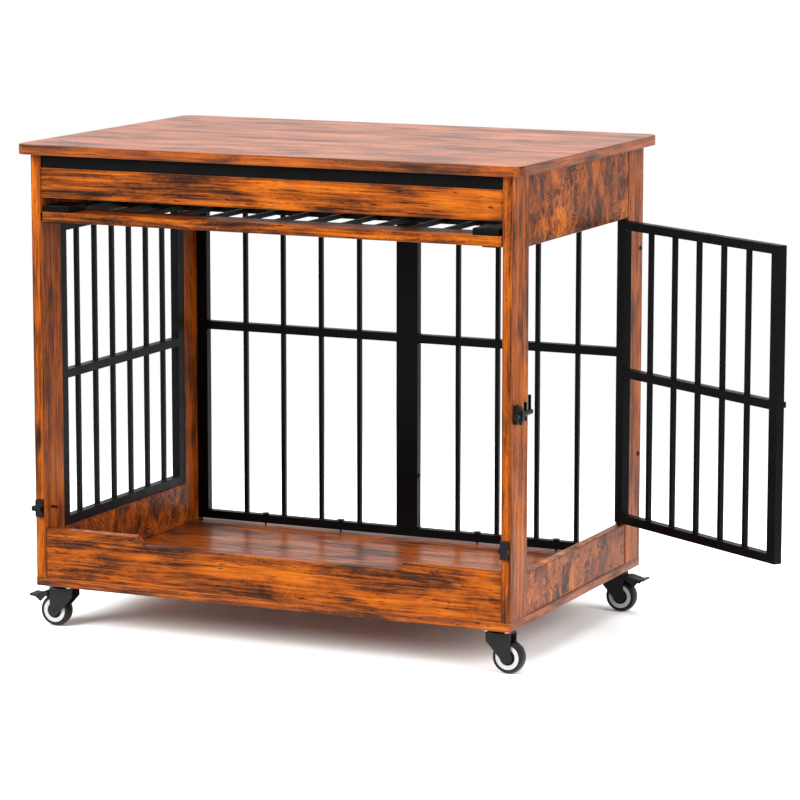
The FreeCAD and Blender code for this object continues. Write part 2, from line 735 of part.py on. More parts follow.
def caster_core():
    """The pale wheel body: a rim, a sunk web and a hub, bored for the axle."""
    hub = fork_inner_width / 2 - seat_gap
    rim = tyre_width / 2 - rim_inset
    web = rim - web_inset
    hub_radius = wheel_bore_radius + hub_wall
    outline = [(wheel_bore_radius, hub), (hub_radius, hub), (hub_radius, web),
               (rim_bore_radius, web), (rim_bore_radius, rim), (wheel_ring_radius, rim)]
    outline += [(r, -y) for r, y in reversed(outline)]
    corners = [V(r, y, 0) for r, y in outline]
    return wheel_turned(Part.makePolygon(corners + corners[:1]).Edges)


def caster_pedal(pressed):
    """The brake pedal: a pressed hood over the wheel that ends in a turned-up lip."""
    top = crown_bottom - pedal_drop
    root = pedal_pin_forward - pedal_pin_wall
    tip = caster_trail + pedal_reach
    lip = tip - pedal_lip
    tyre_front = caster_trail + wheel_radius
    dip, edge = top - pedal_dip, top - pedal_lip_drop
    side_view = [(root, top), (tyre_front - pedal_slope_run, top), (lip, dip), (tip, edge),
                 (tip, edge - pedal_lip_thickness), (lip, dip - pedal_lip_thickness),
                 (tyre_front, top - pedal_skirt), (root, top - pedal_skirt_root)]
    half = pedal_width / 2
    hood = prism([(x, -half, z) for x, z in side_view], V(0, pedal_width, 0))
    # Between the ears of the fork the hood is narrower; past them it has its full width.
    neck_half = fork_inner_width / 2 - seat_gap
    neck_end = max(ear_half_length, caster_trail + ear_eye_radius) + pedal_ear_gap
    for side in (-1, 1):
        hood = hood.cut(block(root, neck_end, side * neck_half, side * half, 0, top))
    hollow = neck_half - pedal_sheet
    hood = hood.cut(block(root, pedal_roof_start, -hollow, hollow, 0, top))
    hood = hood.cut(block(root, neck_end + pedal_sheet, -hollow, hollow, 0, top - pedal_sheet))
    mouth = half - pedal_sheet
    roof = min(dip - pedal_lip_thickness, top - pedal_sheet)
    hood = hood.cut(block(neck_end + pedal_sheet, lip, -mouth, mouth, 0, roof))
    pin = V(pedal_pin_forward, -half, pedal_pin_z)
    for turn in (0, -pedal_travel):
        wheel = rod(V(caster_trail, -half, wheel_radius), Y_AXIS, wheel_radius + tyre_gap, pedal_width)
        wheel.rotate(pin, Y_AXIS, turn)
        hood = hood.cut(wheel)
    hood = hood.cut(rod(pin, Y_AXIS, pedal_pin_radius + running_gap, pedal_width))
    if pressed:
        hood.rotate(pin, Y_AXIS, pedal_travel)
    return hood


# ---- screws ---------------------------------------------------------------------------------
def screw(seat, direction, length):
    """A pan head screw: its head stands on the seat, against the way it is driven."""
    drive = V(*direction)
    head = rod(seat, -drive, screw_head_radius, screw_head_height)
    crest = seat - drive * screw_head_height
    head = rounded(head, screw_head_round, lambda box: box.Center.distanceToPoint(crest) < screw_head_round)
    return joined([head, rod(seat, drive, screw_shank_radius, length)])


def back_panel_screws():
    """The screws through the back posts into the back grilles."""
    return Part.makeCompound([screw(V(side * half_width, back_panel_y, base_top + height), (-side, 0, 0),
                                    board + screw_in_stile)
                              for side in (-1, 1) for height in back_screw_heights])


def panel_bolt():
    """The bolt that joins the back grilles' middle stiles, with its nut."""
    z = base_top + panel_bolt_height
    nut = rod(V(-stile_width, back_panel_y, z), V(-1, 0, 0), screw_head_radius, screw_head_height)
    return joined([screw(V(stile_width, back_panel_y, z), (-1, 0, 0), 2 * stile_width), nut])


def rail_screws():
    """The screws through the back grilles' bottom rails into the base panel."""
    seat = base_top + back_panel_gap_low + rail_height
    depth = rail_height + back_panel_gap_low + screw_in_board
    return Part.makeCompound([screw(V(x, back_panel_y, seat), (0, 0, -1), depth)
                              for x in rail_screw_places()])


def caster_screws():
    """The screws through the casters' plates into the base panel."""
    return Part.makeCompound([screw(V(x, y, plate_bottom), (0, 0, 1), plate_thickness + screw_in_board)
                              for place in caster_places() for x, y in caster_screw_places(*place)])


# ---- the whole crate ------------------------------------------------------------------------
def build():
    """Every node of the crate, by name."""
    nodes = {"tabletop": tabletop(), "base_panel": base_panel(), "front_apron": front_apron(),
             "front_beam": front_beam(), "front_board": front_board(), "left_panel": left_panel(),
             "side_door_frame": side_door_frame(), "side_door_keeper": side_door_keeper(),
             "hinge_pins": hinge_pins(), "front_door_grille": front_door_grille(),
             "front_door_rail": front_door_rail(), "front_door_backing_plates": front_door_backing_plates(),
             "front_door_sliders": front_door_sliders(), "door_stops": door_stops(),
             "side_catch_bracket": side_catch_bracket(), "side_catch_bolt": side_catch_bolt(),
             "back_panel_screws": back_panel_screws(), "rail_screws": rail_screws(),
             "panel_bolt": panel_bolt(), "caster_screws": caster_screws()}
    for name, side in SIDES:
        nodes["post_front_" + name] = post(side, -1)
        nodes["post_back_" + name] = post(side, 1)
        nodes["side_apron_" + name] = side_apron(side)
        nodes["side_board_" + name] = side_board(side)
        nodes["back_panel_" + name] = back_panel(side)
        nodes["front_door_cap_" + name] = front_door_cap(side)
        nodes["catch_bracket_" + name] = catch_bracket(side)
        nodes["catch_bolt_" + name] = catch_bolt(side)
    for name, place in zip(CASTERS, caster_places()):
        label = "caster_" + name
        nodes[label + "_plate"] = placed(caster_plate(), place)
        nodes[label + "_fork"] = placed(caster_fork(name in BRAKED), place)
        nodes[label + "_axle"] = placed(caster_axle(), place)
        nodes[label + "_tyre"] = placed(caster_tyre(), place)
        nodes[label + "_core"] = placed(caster_core(), place)
        if name in BRAKED:
            nodes[label + "_pedal"] = placed(caster_pedal(name in PRESSED), place)
    return nodes


if __name__ == "__main__":
    os.makedirs("parts", exist_ok=True)
    for node, shape in build().items():
        shape.exportStep(os.path.join("parts", node + ".step"))
        box = shape.BoundBox
        print(f"{node:28s} solids {len(shape.Solids)} faces {len(shape.Faces):4d} valid {shape.isValid()} "
              f"x {box.XMin:7.1f} {box.XMax:7.1f} y {box.YMin:7.1f} {box.YMax:7.1f} "
              f"z {box.ZMin:7.1f} {box.ZMax:7.1f}")
    print(f"side door pin at x {hinge_x:.2f}, y {hinge_y:.2f}")
    print(f"front door pivot at y {pivot_y:.2f}, z {pivot_z:.2f}, travel {front_door_travel:.2f}")
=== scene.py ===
"""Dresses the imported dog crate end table: finishes, small welded and turned parts, studio, camera.

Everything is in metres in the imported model's frame. X runs along the crate from its left side to
its right, Y from its front to its back, and Z up from the floor.
"""
import logging
import math
from collections.abc import Sequence
from dataclasses import dataclass
from enum import Enum

import bmesh
import bpy
import numpy as np
from mathutils import Matrix, Vector


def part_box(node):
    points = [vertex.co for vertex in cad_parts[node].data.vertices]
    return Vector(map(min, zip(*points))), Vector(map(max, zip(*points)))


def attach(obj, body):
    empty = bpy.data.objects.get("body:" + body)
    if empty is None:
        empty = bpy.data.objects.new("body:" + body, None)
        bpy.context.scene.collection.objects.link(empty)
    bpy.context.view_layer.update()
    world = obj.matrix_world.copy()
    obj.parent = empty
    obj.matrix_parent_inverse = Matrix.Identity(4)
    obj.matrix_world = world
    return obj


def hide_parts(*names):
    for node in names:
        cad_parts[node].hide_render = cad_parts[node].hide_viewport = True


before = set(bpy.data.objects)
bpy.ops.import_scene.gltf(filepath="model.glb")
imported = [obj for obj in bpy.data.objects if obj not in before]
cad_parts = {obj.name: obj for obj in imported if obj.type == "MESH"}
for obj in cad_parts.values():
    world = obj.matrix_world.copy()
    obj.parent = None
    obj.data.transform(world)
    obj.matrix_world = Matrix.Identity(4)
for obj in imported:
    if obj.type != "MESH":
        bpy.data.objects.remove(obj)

log = logging.getLogger("dog_crate_table")

Colour = tuple[float, float, float, float]
Triple = tuple[float, float, float]
Socket = bpy.types.NodeSocket


class Grain(Enum):
    """The axis that a board's grain runs along."""

    ALONG_X = 0
    ALONG_Y = 1
    ALONG_Z = 2


class Side(Enum):
    """A side of the crate, with the sign of its X."""

    LEFT = -1
    RIGHT = 1


# ---- shader nodes ---------------------------------------------------------------------------
class Nodes:
    """Adds nodes and links to one node tree."""

    def __init__(self, tree: bpy.types.NodeTree) -> None:
        """Keeps the tree that the nodes go into."""
        self.tree = tree

    def add(self, kind: str, inputs: dict | None = None, **settings: object) -> bpy.types.Node:
        """Adds a node.

        Args:
            kind: Blender's name for the kind of node.
            inputs: a value or a socket for each input, by its name or place.
            settings: the node's own properties.

        Returns:
            The new node.
        """
        node = self.tree.nodes.new(kind)
        for name, value in settings.items():
            setattr(node, name, value)
        for key, value in (inputs or {}).items():
            if isinstance(value, Socket):
                self.tree.links.new(value, node.inputs[key])
            else:
                node.inputs[key].default_value = value
        return node

    def place(self) -> Socket:
        """Returns the point on the piece, in metres."""
        return self.add("ShaderNodeTexCoord").outputs["Object"]

    def math(self, operation: str, *values: object) -> Socket:
        """Returns the result of one sum on numbers or sockets."""
        return self.add("ShaderNodeMath", dict(enumerate(values)), operation=operation).outputs[0]

    def vector(self, operation: str, *values: object) -> Socket:
        """Returns the result of one sum on vectors or sockets."""
        inputs = dict(enumerate(values))
        return self.add("ShaderNodeVectorMath", inputs, operation=operation).outputs[0]

    def noise(self, point: Socket, scale: Triple, detail: float = 4.0, roughness: float = 0.55,
              distortion: float = 0.0, output: str = "Fac") -> Socket:
        """Returns cloud noise, with its own number of features to the metre along each axis."""
        inputs = {"Vector": self.vector("MULTIPLY", point, scale), "Scale": 1.0, "Detail": detail,
                  "Roughness": roughness, "Distortion": distortion}
        return self.add("ShaderNodeTexNoise", inputs).outputs[output]

    def step(self, value: Socket, low: float, high: float, start: float = 0.0,
             end: float = 1.0) -> Socket:
        """Returns a soft step from start to end while the value goes from low to high."""
        inputs = {"Value": value, "From Min": low, "From Max": high, "To Min": start, "To Max": end}
        return self.add("ShaderNodeMapRange", inputs, interpolation_type="SMOOTHSTEP").outputs[0]

    def ramp(self, value: Socket, stops: Sequence[tuple[float, Colour]]) -> Socket:
        """Returns a colour from a row of places and colours."""
        node = self.add("ShaderNodeValToRGB", {"Fac": value})
        elements = node.color_ramp.elements
        while len(elements) < len(stops):
            elements.new(0.5)
        for element, (at, colour) in zip(elements, stops):
            element.position, element.color = at, colour
        return node.outputs["Color"]

    def mix(self, share: object, first: object, second: object, blend: str = "MIX") -> Socket:
        """Returns two colours mixed."""
        inputs = {0: share, 6: first, 7: second}
        return self.add("ShaderNodeMix", inputs, data_type="RGBA", blend_type=blend).outputs[2]

    def choose(self, share: Socket, first: Socket, second: Socket) -> Socket:
        """Returns two vectors mixed."""
        inputs = {0: share, 4: first, 5: second}
        return self.add("ShaderNodeMix", inputs, data_type="VECTOR").outputs[1]

    def bump(self, height: Socket, distance: float, strength: float) -> Socket:
        """Returns a normal bent by a height, with the distance in metres."""
        inputs = {"Height": height, "Distance": distance, "Strength": strength}
        return self.add("ShaderNodeBump", inputs).outputs["Normal"]


def blank_material(name: str) -> tuple[bpy.types.Material, Nodes, bpy.types.Node]:
    """Starts a material.

    Args:
        name: the material's name.

    Returns:
        The material, its nodes and its main shader.
    """
    material = bpy.data.materials.new(name)
    material.use_nodes = True
    nodes = Nodes(material.node_tree)
    shader = next(n for n in material.node_tree.nodes if n.type == "BSDF_PRINCIPLED")
    return material, nodes, shader


def set_shader(nodes: Nodes, shader: bpy.types.Node, **inputs: object) -> None:
    """Sets a shader's inputs, with an underscore for each space in their names."""
    for name, value in inputs.items():
        socket = shader.inputs[name.replace("_", " ")]
        if isinstance(value, Socket):
            nodes.tree.links.new(value, socket)
        else:
            socket.default_value = value


# ---- finishes -------------------------------------------------------------------------------
@dataclass(frozen=True)
class WoodLaminate:
    """Rustic brown laminate on chipboard: orange streaks, dark threads, knots and edge bands.

    Args:
        grain: the axis that the grain runs along.
        low: lowest corner of the board.
        high: highest corner of the board.
        seed: moves the pattern, so that no two boards are alike.
        burl: how much the grain curls, from 0 to 1.
        shade: how much darker the board is.
        contrast: how far light and dark streaks lie apart.
        ior: how strongly the face mirrors.
    """

    grain: Grain
    low: Triple
    high: Triple
    seed: float
    burl: float = 0.3
    shade: float = 0.0
    contrast: float = 1.0
    ior: float = 1.18

    def along(self, along: float, across: float) -> Triple:
        """Returns a pair of numbers to the metre, along and across the grain, as X, Y and Z."""
        row = [across] * 3
        row[self.grain.value] = along
        return tuple(row)

    def edge_seam(self, nodes: Nodes, point: Socket) -> Socket:
        """Returns 1 on the thin joint between a board's face and its edge band.

        The distances to the nearest faces of the board's box are half the box less the size of
        the offset from its middle. The middle one of the three is the distance to an edge.
        """
        middle = tuple((a + b) / 2 for a, b in zip(self.low, self.high))
        half = tuple((b - a) / 2 for a, b in zip(self.low, self.high))
        offset = nodes.vector("ABSOLUTE", nodes.vector("SUBTRACT", point, middle))
        parts = nodes.add("ShaderNodeSeparateXYZ", {0: nodes.vector("SUBTRACT", half, offset)})
        x, y, z = parts.outputs
        inner = nodes.math("MINIMUM", nodes.math("MAXIMUM", x, y), z)
        edge = nodes.math("MAXIMUM", nodes.math("MINIMUM", x, y), inner)
        away = nodes.math("ABSOLUTE", nodes.math("SUBTRACT", edge, 0.0016))
        return nodes.step(away, 0.0002, 0.0009, 1.0, 0.0)

    def banded(self, nodes: Nodes, point: Socket) -> Socket:
        """Returns the point, with X and Y swapped on a board's end faces.

        There an edge band is glued on, whose grain runs along the band.
        """
        facing = nodes.vector("ABSOLUTE", nodes.add("ShaderNodeTexCoord").outputs["Normal"])
        ends = nodes.step(nodes.add("ShaderNodeSeparateXYZ", {0: facing}).outputs[0], 0.6, 0.8)
        x, y, z = nodes.add("ShaderNodeSeparateXYZ", {0: point}).outputs
        swapped = nodes.add("ShaderNodeCombineXYZ", {0: y, 1: x, 2: z}).outputs[0]
        return nodes.choose(ends, point, swapped)

    def tone(self, nodes: Nodes, start: Socket, bent: Socket) -> Socket:
        """Returns the lightness of the streaks, about 0.5 in the middle.

        It is a weighted sum of clouds, streaks, threads and curls, each less its own mean.
        """
        clouds = nodes.noise(bent, self.along(4.0 + 12.0 * self.burl, 24.0), 4.0, 0.62, 0.4)
        streaks = nodes.noise(bent, self.along(3.4 + 30.0 * self.burl ** 2, 115.0), 5.0, 0.72)
        threads = nodes.noise(bent, self.along(6.0 + 40.0 * self.burl ** 2, 390.0), 2.0, 0.65)
        curl = nodes.noise(bent, self.along(17.0, 26.0), 1.0, 0.5, 1.3)
        wave = nodes.math("SINE", nodes.math("MULTIPLY", curl, 76.0))
        area = nodes.step(nodes.noise(start, (6.0, 6.0, 7.0), 1.0), 0.36, 0.54)
        swirl = nodes.math("MULTIPLY", wave, nodes.math("MULTIPLY", area, self.burl))
        total = 0.5 - self.shade
        for part, mean, weight in ((clouds, 0.5, 0.95), (streaks, 0.5, 0.85 - 0.30 * self.burl),
                                   (threads, 0.5, 0.62 - 0.42 * self.burl), (swirl, 0.0, 0.100)):
            weight *= self.contrast
            total = nodes.math("MULTIPLY_ADD", part, weight,
                               nodes.math("ADD", total, -mean * weight))
        return total

    def material(self, name: str) -> bpy.types.Material:
        """Builds the laminate.

        Args:
            name: the material's name.

        Returns:
            The material.
        """
        material, nodes, shader = blank_material(name)
        point = nodes.place()
        shift = tuple(self.seed * k for k in (1.37, 2.11, 0.73))
        start = nodes.vector("ADD", self.banded(nodes, point), shift)
        curling = self.burl ** 2
        drift = nodes.noise(start, self.along(2.2 + 10.0 * curling, 9.0), 2.0, output="Color")
        bend = 0.012 + 0.060 * curling
        bent = nodes.vector("MULTIPLY_ADD", drift, self.along(0.02, bend), start)
        tone = self.tone(nodes, start, bent)
        cells = nodes.add("ShaderNodeTexVoronoi", {
            "Vector": nodes.vector("MULTIPLY", bent, self.along(4.5, 13.0)), "Scale": 1.0})
        knot = nodes.step(cells.outputs["Distance"], 0.02, 0.16, 0.20 * self.contrast, 0.0)
        tone = nodes.math("SUBTRACT", tone, knot)

        colour = nodes.ramp(tone, (
            (0.25, (0.026, 0.009, 0.005, 1)), (0.36, (0.076, 0.023, 0.009, 1)),
            (0.44, (0.205, 0.049, 0.010, 1)), (0.51, (0.380, 0.081, 0.009, 1)),
            (0.59, (0.545, 0.120, 0.010, 1)), (0.73, (0.780, 0.190, 0.015, 1))))
        lines = nodes.step(nodes.noise(bent, self.along(6.5, 330.0), 1.0, 0.5), 0.56, 0.66)
        where = nodes.step(nodes.noise(start, self.along(7.0, 40.0), 2.0), 0.42, 0.60)
        lines = nodes.math("MULTIPLY", lines, nodes.math("MULTIPLY", where, 0.75 * self.contrast))
        colour = nodes.mix(lines, colour, (0.045, 0.014, 0.006, 1))
        pores = nodes.noise(bent, self.along(48.0, 430.0), 1.0, 0.5)
        dashes = nodes.step(pores, 0.66, 0.72)
        colour = nodes.mix(nodes.math("MULTIPLY", dashes, 0.85 * self.contrast), colour,
                           (0.014, 0.006, 0.004, 1))
        seam = self.edge_seam(nodes, point)
        colour = nodes.mix(nodes.math("MULTIPLY", seam, 0.50), colour, (0.050, 0.017, 0.007, 1))

        relief = nodes.math("MULTIPLY_ADD", dashes, -0.25, tone)
        relief = nodes.math("MULTIPLY_ADD", lines, -0.15, relief)
        relief = nodes.math("MULTIPLY_ADD", seam, -0.4, relief)
        gloss = nodes.step(tone, 0.36, 0.66, 0.36, 0.27)
        normal = nodes.bump(relief, 0.0004, 0.30)
        set_shader(nodes, shader, Base_Color=colour, Roughness=gloss, Normal=normal, IOR=self.ior)
        return material


@dataclass(frozen=True)
class Coating:
    """Paint, powder coat, moulded plastic, rubber or plating with a fine grain all over.

    Args:
        colour: the main colour.
        dust: the colour that shows in worn or dusty patches.
        roughness: the range of roughness from patch to patch.
        grain: features to the metre in the surface.
        depth: how deep the grain is, in metres.
        metallic: 1 for bare metal.
        ior: how strongly a face seen straight on mirrors.
    """

    colour: Colour
    dust: Colour
    roughness: tuple[float, float]
    grain: float
    depth: float
    metallic: float = 0.0
    ior: float = 1.45

    def material(self, name: str) -> bpy.types.Material:
        """Builds the coating.

        Args:
            name: the material's name.

        Returns:
            The material.
        """
        material, nodes, shader = blank_material(name)
        point = nodes.place()
        patches = nodes.noise(point, (24.0, 24.0, 24.0), 4.0, 0.6)
        grain = nodes.noise(point, (self.grain,) * 3, 3.0, 0.6)
        blend = nodes.step(patches, 0.44, 0.72)
        mixed = nodes.mix(blend, self.colour, self.dust)
        speckle = nodes.step(grain, 0.30, 0.70, 0.86, 1.0)
        shaded = nodes.mix(1.0, mixed, nodes.add(
            "ShaderNodeCombineColor", {0: speckle, 1: speckle, 2: speckle}).outputs[0], "MULTIPLY")
        set_shader(nodes, shader, Base_Color=shaded, Metallic=self.metallic, IOR=self.ior,
                   Roughness=nodes.step(patches, 0.3, 0.7, *self.roughness),
                   Normal=nodes.bump(grain, self.depth, 0.3))
        return material


BLACK_STEEL = Coating((0.0018, 0.0018, 0.0019, 1), (0.0032, 0.0032, 0.0033, 1), (0.36, 0.48),
                      1500.0, 0.00008, ior=1.19)
WELD_STEEL = Coating((0.0030, 0.0030, 0.0032, 1), (0.0065, 0.0064, 0.0062, 1), (0.32, 0.44),
                     700.0, 0.00015, ior=1.28)
CASTER_STEEL = Coating((0.0130, 0.0130, 0.0132, 1), (0.0190, 0.0190, 0.0192, 1), (0.40, 0.52),
                       1200.0, 0.00010, ior=1.30)
BLACK_PLASTIC = Coating((0.0060, 0.0060, 0.0063, 1), (0.0100, 0.0100, 0.0103, 1), (0.42, 0.56),
                        1800.0, 0.00006, ior=1.30)
ZINC_STEEL = Coating((0.50, 0.51, 0.52, 1), (0.36, 0.36, 0.37, 1), (0.28, 0.42),
                     900.0, 0.00004, metallic=1.0)
TYRE_RUBBER = Coating((0.0040, 0.0040, 0.0042, 1), (0.0070, 0.0068, 0.0066, 1), (0.36, 0.48),
                      1300.0, 0.00010, ior=1.35)
WHITE_PLASTIC = Coating((0.92, 0.92, 0.91, 1), (0.88, 0.88, 0.87, 1), (0.32, 0.42),
                        600.0, 0.00003)


class Finishes:
    """Makes each coating once, and a laminate for each board."""

    def __init__(self) -> None:
        """Starts with no finish made."""
        self.made: dict[str, bpy.types.Material] = {}

    def coating(self, name: str, coating: Coating) -> bpy.types.Material:
        """Returns a coating's material, made the first time it is asked for."""
        if name not in self.made:
            self.made[name] = coating.material(name)
        return self.made[name]

    def dress(self, node: str, material: bpy.types.Material) -> None:
        """Gives a CAD node a material."""
        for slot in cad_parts[node].material_slots:
            slot.material = material
        log.info("node %s has %s", node, material.name)

    def board(self, node: str, grain: Grain, seed: float, burl: float = 0.25,
              shade: float = 0.0, contrast: float = 1.0, ior: float = 1.18) -> None:
        """Gives a CAD board its own laminate."""
        low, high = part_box(node)
        wood = WoodLaminate(grain, tuple(low), tuple(high), seed, burl, shade, contrast, ior)
        self.dress(node, wood.material("laminate_" + node))


# ---- surfaces -------------------------------------------------------------------------------
@dataclass
class Surface:
    """Points and faces of one or more closed shells."""

    points: np.ndarray
    faces: list[np.ndarray]

    @staticmethod
    def grid(points: np.ndarray, wrap_rows: bool = False) -> "Surface":
        """Faces for a grid of points whose columns close into rings.

        Args:
            points: an array of rows by columns by 3.
            wrap_rows: whether the last row joins the first. Otherwise a fan closes each end.

        Returns:
            The closed surface.
        """
        rows, columns = points.shape[:2]
        number = np.arange(rows * columns).reshape(rows, columns)
        if wrap_rows:
            number = np.vstack([number, number[:1]])
        right = np.roll(number, -1, axis=1)
        quads = np.stack([number[:-1], right[:-1], right[1:], number[1:]], axis=-1).reshape(-1, 4)
        flat = points.reshape(-1, 3)
        if wrap_rows:
            return Surface(flat, [quads])
        ends = np.array([points[0].mean(axis=0), points[-1].mean(axis=0)])
        first, last = rows * columns, rows * columns + 1
        fan_one = np.stack([right[0], number[0], np.full(columns, first)], axis=-1)
        fan_two = np.stack([number[-1], right[-1], np.full(columns, last)], axis=-1)
        return Surface(np.vstack([flat, ends]), [quads, fan_one, fan_two])

    @staticmethod
    def merged(parts: Sequence["Surface"]) -> "Surface":
        """Returns several surfaces as one."""
        points, faces, start = [], [], 0
        for part in parts:
            points.append(part.points)
            faces.extend(f + start for f in part.faces)
            start += len(part.points)
        return Surface(np.vstack(points), faces)

    def turned(self, matrix: Matrix) -> "Surface":
        """Returns the surface moved and turned by a matrix."""
        m = np.array(matrix)
        return Surface(self.points @ m[:3, :3].T + m[:3, 3], self.faces)

    def piece(self, name: str, material: bpy.types.Material, body: str, slot: str,
              smooth_angle: float = 40.0) -> bpy.types.Object:
        """Puts the surface into the scene.

        Args:
            name: the piece's name.
            material: its finish.
            body: the CAD body that carries it.
            slot: the record's material slot. It is not used.
            smooth_angle: faces that meet at less than this, in degrees, are shaded smooth.

        Returns:
            The new object, at the origin.
        """
        mesh = bpy.data.meshes.new(name)
        mesh.from_pydata(self.points.tolist(), [], [r for f in self.faces for r in f.tolist()])
        work = bmesh.new()
        work.from_mesh(mesh)
        bmesh.ops.recalc_face_normals(work, faces=work.faces)
        for edge in work.edges:
            edge.smooth = edge.calc_face_angle(0.0) < math.radians(smooth_angle)
        for face in work.faces:
            face.smooth = True
        work.to_mesh(mesh)
        work.free()
        mesh.materials.append(material)
        made = bpy.data.objects.new(name, mesh)
        bpy.context.scene.collection.objects.link(made)
        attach(made, body)
        log.info("piece %s: %d faces on %s", name, len(mesh.polygons), body)
        return made


def axis_frame(axis: Triple) -> np.ndarray:
    """Returns three rows of unit vectors, the last one along the axis."""
    w = np.array(axis, float)
    w /= np.linalg.norm(w)
    helper = np.eye(3)[int(np.argmin(np.abs(w)))]
    u = np.cross(helper, w)
    u /= np.linalg.norm(u)
    return np.array([u, np.cross(w, u), w])


def revolved(profile: Sequence[tuple[float, float, float]], centre: Triple, axis: Triple,
             segments: int = 32, lobes: int = 6) -> Surface:
    """A turned shape.

    The point at angle a on a row of radius r, height h and lobe share k is the centre, plus
    r (1 + k cos(lobes a)) round the axis, plus h along it.

    Args:
        profile: radius, height and lobe share of each row.
        centre: where height 0 is on the axis.
        axis: its direction.
        segments: points round the axis.
        lobes: how many lobes a lobed row has.

    Returns:
        The closed surface.
    """
    rows = np.array(profile, float)
    angle = np.linspace(0, 2 * math.pi, segments, endpoint=False)
    radius = rows[:, :1] * (1 + rows[:, 2:3] * np.cos(lobes * angle)[None, :])
    u, v, w = axis_frame(axis)
    points = (np.array(centre) + radius[..., None] * (np.cos(angle)[:, None] * u
              + np.sin(angle)[:, None] * v) + rows[:, 1][:, None, None] * w)
    return Surface.grid(points)


def ring_bead(centre: Triple, axis: Triple, half: tuple[float, float], bead: float,
              power: float = 6.0, segments: int = 24, sides: int = 6) -> Surface:
    """A closed bead of weld or a moulded ring along a rounded rectangle.

    The path at angle a is sign(cos a) |cos a|^(2/power) and the same of sin a, times the half
    sizes. Round it runs a circle of the bead's radius, at angle b.

    Args:
        centre: middle of the ring.
        axis: direction square to the ring.
        half: half sizes along the ring's own two axes.
        bead: radius of the bead.
        power: 2 for an ellipse, and more for squarer corners.
        segments: points along the path.
        sides: points round the bead.

    Returns:
        The closed surface.
    """
    a = np.linspace(0, 2 * math.pi, segments, endpoint=False) + math.pi / segments
    b = np.linspace(0, 2 * math.pi, sides, endpoint=False)
    c, s = np.cos(a), np.sin(a)
    path = np.stack([np.sign(c) * np.abs(c) ** (2 / power) * half[0],
                     np.sign(s) * np.abs(s) ** (2 / power) * half[1]], axis=-1)
    along = np.roll(path, -1, axis=0) - np.roll(path, 1, axis=0)
    out = np.stack([along[:, 1], -along[:, 0]], axis=-1)
    out /= np.linalg.norm(out, axis=1, keepdims=True)
    u, v, w = axis_frame(axis)
    flat = path[:, None] + bead * np.cos(b)[None, :, None] * out[:, None]
    rise = np.broadcast_to(bead * np.sin(b), flat.shape[:2])
    points = np.array(centre) + flat[..., :1] * u + flat[..., 1:] * v + rise[..., None] * w
    return Surface.grid(points, wrap_rows=True)


def soft_block(low: Triple, high: Triple, power: float = 8.0, rows: int = 17,
               columns: int = 32) -> Surface:
    """A block with softened edges between two corners.

    At latitude p and longitude q its point is the middle plus the half sizes times
    c(p) c(q), c(p) s(q) and s(p), where c and s are cosine and sine to the power 2 / power,
    with their signs kept.

    Args:
        low: the lowest corner.
        high: the highest corner.
        power: more for squarer edges.
        rows: points from pole to pole.
        columns: points round it.

    Returns:
        The closed surface.
    """
    p = np.linspace(-math.pi / 2, math.pi / 2, rows + 2)[1:-1, None]
    q = np.linspace(0, 2 * math.pi, columns, endpoint=False)[None, :] + math.pi / columns

    def soft(value: np.ndarray) -> np.ndarray:
        """Returns a value to the power 2 / power, with its sign kept."""
        return np.sign(value) * np.abs(value) ** (2 / power)

    level = soft(np.cos(p))
    unit = np.stack(np.broadcast_arrays(level * soft(np.cos(q)), level * soft(np.sin(q)),
                                        soft(np.sin(p))), axis=-1)
    low_corner, high_corner = np.array(low), np.array(high)
    return Surface.grid((low_corner + high_corner) / 2 + unit * (high_corner - low_corner) / 2)


def socket_screw(centre: Triple, axis: Triple, radius: float, height: float, shank: float,
                 length: float) -> Surface:
    """A domed screw head with a six-lobed socket, and its shank.

    Args:
        centre: middle of the face that the head sits on.
        axis: direction out of that face.
        radius: radius of the head.
        height: how far the head stands out.
        shank: radius of the shank.
        length: how far the shank goes in.

    Returns:
        The closed surface.
    """
    socket = radius * 0.42
    dome = [(radius * math.cos(t), height * (0.35 + 0.65 * math.sin(t)), 0.0)
            for t in np.linspace(0.0, 1.08, 7)]
    profile = [(shank * 0.4, -length, 0.0), (shank, -length + shank, 0.0), (shank, 0.0, 0.0),
               (radius * 0.97, 0.0, 0.0), *dome, (socket * 1.06, height * 0.93, 0.12),
               (socket, height * 0.80, 0.14), (socket * 0.96, height * 0.30, 0.14),
               (socket * 0.5, height * 0.24, 0.0)]
    return revolved(profile, centre, axis, 36)


